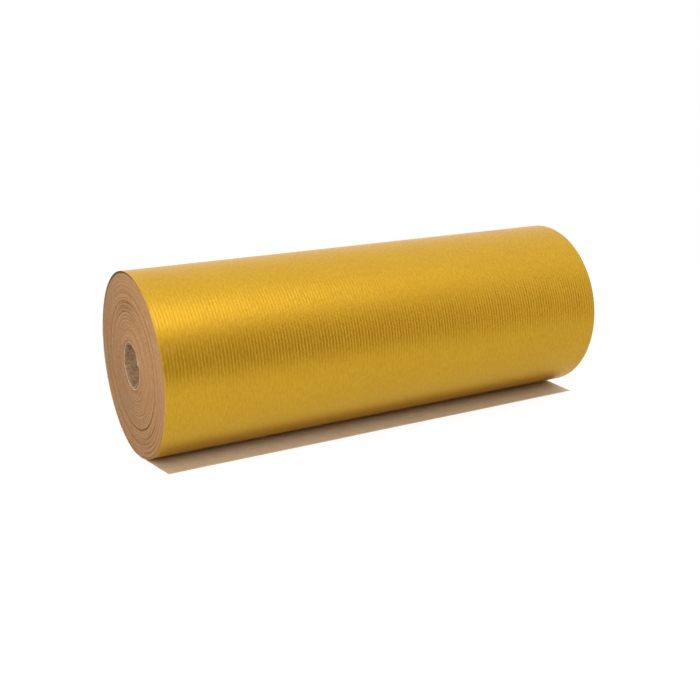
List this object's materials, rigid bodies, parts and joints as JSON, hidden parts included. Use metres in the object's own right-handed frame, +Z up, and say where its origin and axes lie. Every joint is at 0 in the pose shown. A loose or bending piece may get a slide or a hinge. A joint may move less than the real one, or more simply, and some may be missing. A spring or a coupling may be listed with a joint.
{
  "type": "wrapping paper roll",
  "caption": "Counter roll of ribbed wrapping paper, gold outside and kraft inside, wound on a paperboard core, with its free end laid flat in front of it.",
  "frame": {"origin": "centre of the core's bore, on the roll's axis at the middle of its length", "axes": "+X along the roll's axis, +Z up as the roll lies, and the free end reaches towards -Y"},
  "size_m": [0.5, 0.1818, 0.1819],
  "materials": {
    "gold_face": "satin",
    "kraft_back": "matte",
    "web_edges": "matte",
    "core_board": "matte",
    "adhesive_tape": "satin"
  },
  "bodies": {
    "roll": {"core_inner_ply": "core_board", "core_ply_2": "core_board", "core_ply_3": "core_board", "core_ply_4": "core_board", "core_outer_ply": "core_board", "start_tape": "adhesive_tape", "inner_windings": "web_edges", "outer_windings": "web_edges", "outer_turn": "gold_face", "free_end_root": "kraft_back"},
    "free_end_1": {"free_end_strip_1": "kraft_back"},
    "free_end_2": {"free_end_strip_2": "kraft_back"},
    "free_end_3": {"free_end_strip_3": "kraft_back"},
    "free_end_4": {"free_end_strip_4": "kraft_back"},
    "free_end_5": {"free_end_strip_5": "kraft_back"}
  },
  "joints": [
    {"name": "crease_1", "type": "hinge", "parent": "roll", "child": "free_end_1", "pos_m": [0, -0.0111, -0.09056], "axis": [-1, 0, 0], "range_deg": [0, 6.9]},
    {"name": "crease_2", "type": "hinge", "parent": "free_end_1", "child": "free_end_2", "pos_m": [0, -0.0214, -0.09056], "axis": [-1, 0, 0], "range_deg": [0, 6.9]},
    {"name": "crease_3", "type": "hinge", "parent": "free_end_2", "child": "free_end_3", "pos_m": [0, -0.0317, -0.09056], "axis": [-1, 0, 0], "range_deg": [0, 6.9]},
    {"name": "crease_4", "type": "hinge", "parent": "free_end_3", "child": "free_end_4", "pos_m": [0, -0.042, -0.09056], "axis": [-1, 0, 0], "range_deg": [0, 6.9]},
    {"name": "crease_5", "type": "hinge", "parent": "free_end_4", "child": "free_end_5", "pos_m": [0, -0.0523, -0.09056], "axis": [-1, 0, 0], "range_deg": [0, 6.9]}
  ],
  "couplings": [
    {"joint": "crease_2", "follows": "crease_1", "ratio": 1},
    {"joint": "crease_3", "follows": "crease_1", "ratio": 1},
    {"joint": "crease_4", "follows": "crease_1", "ratio": 1},
    {"joint": "crease_5", "follows": "crease_1", "ratio": 1}
  ]
}
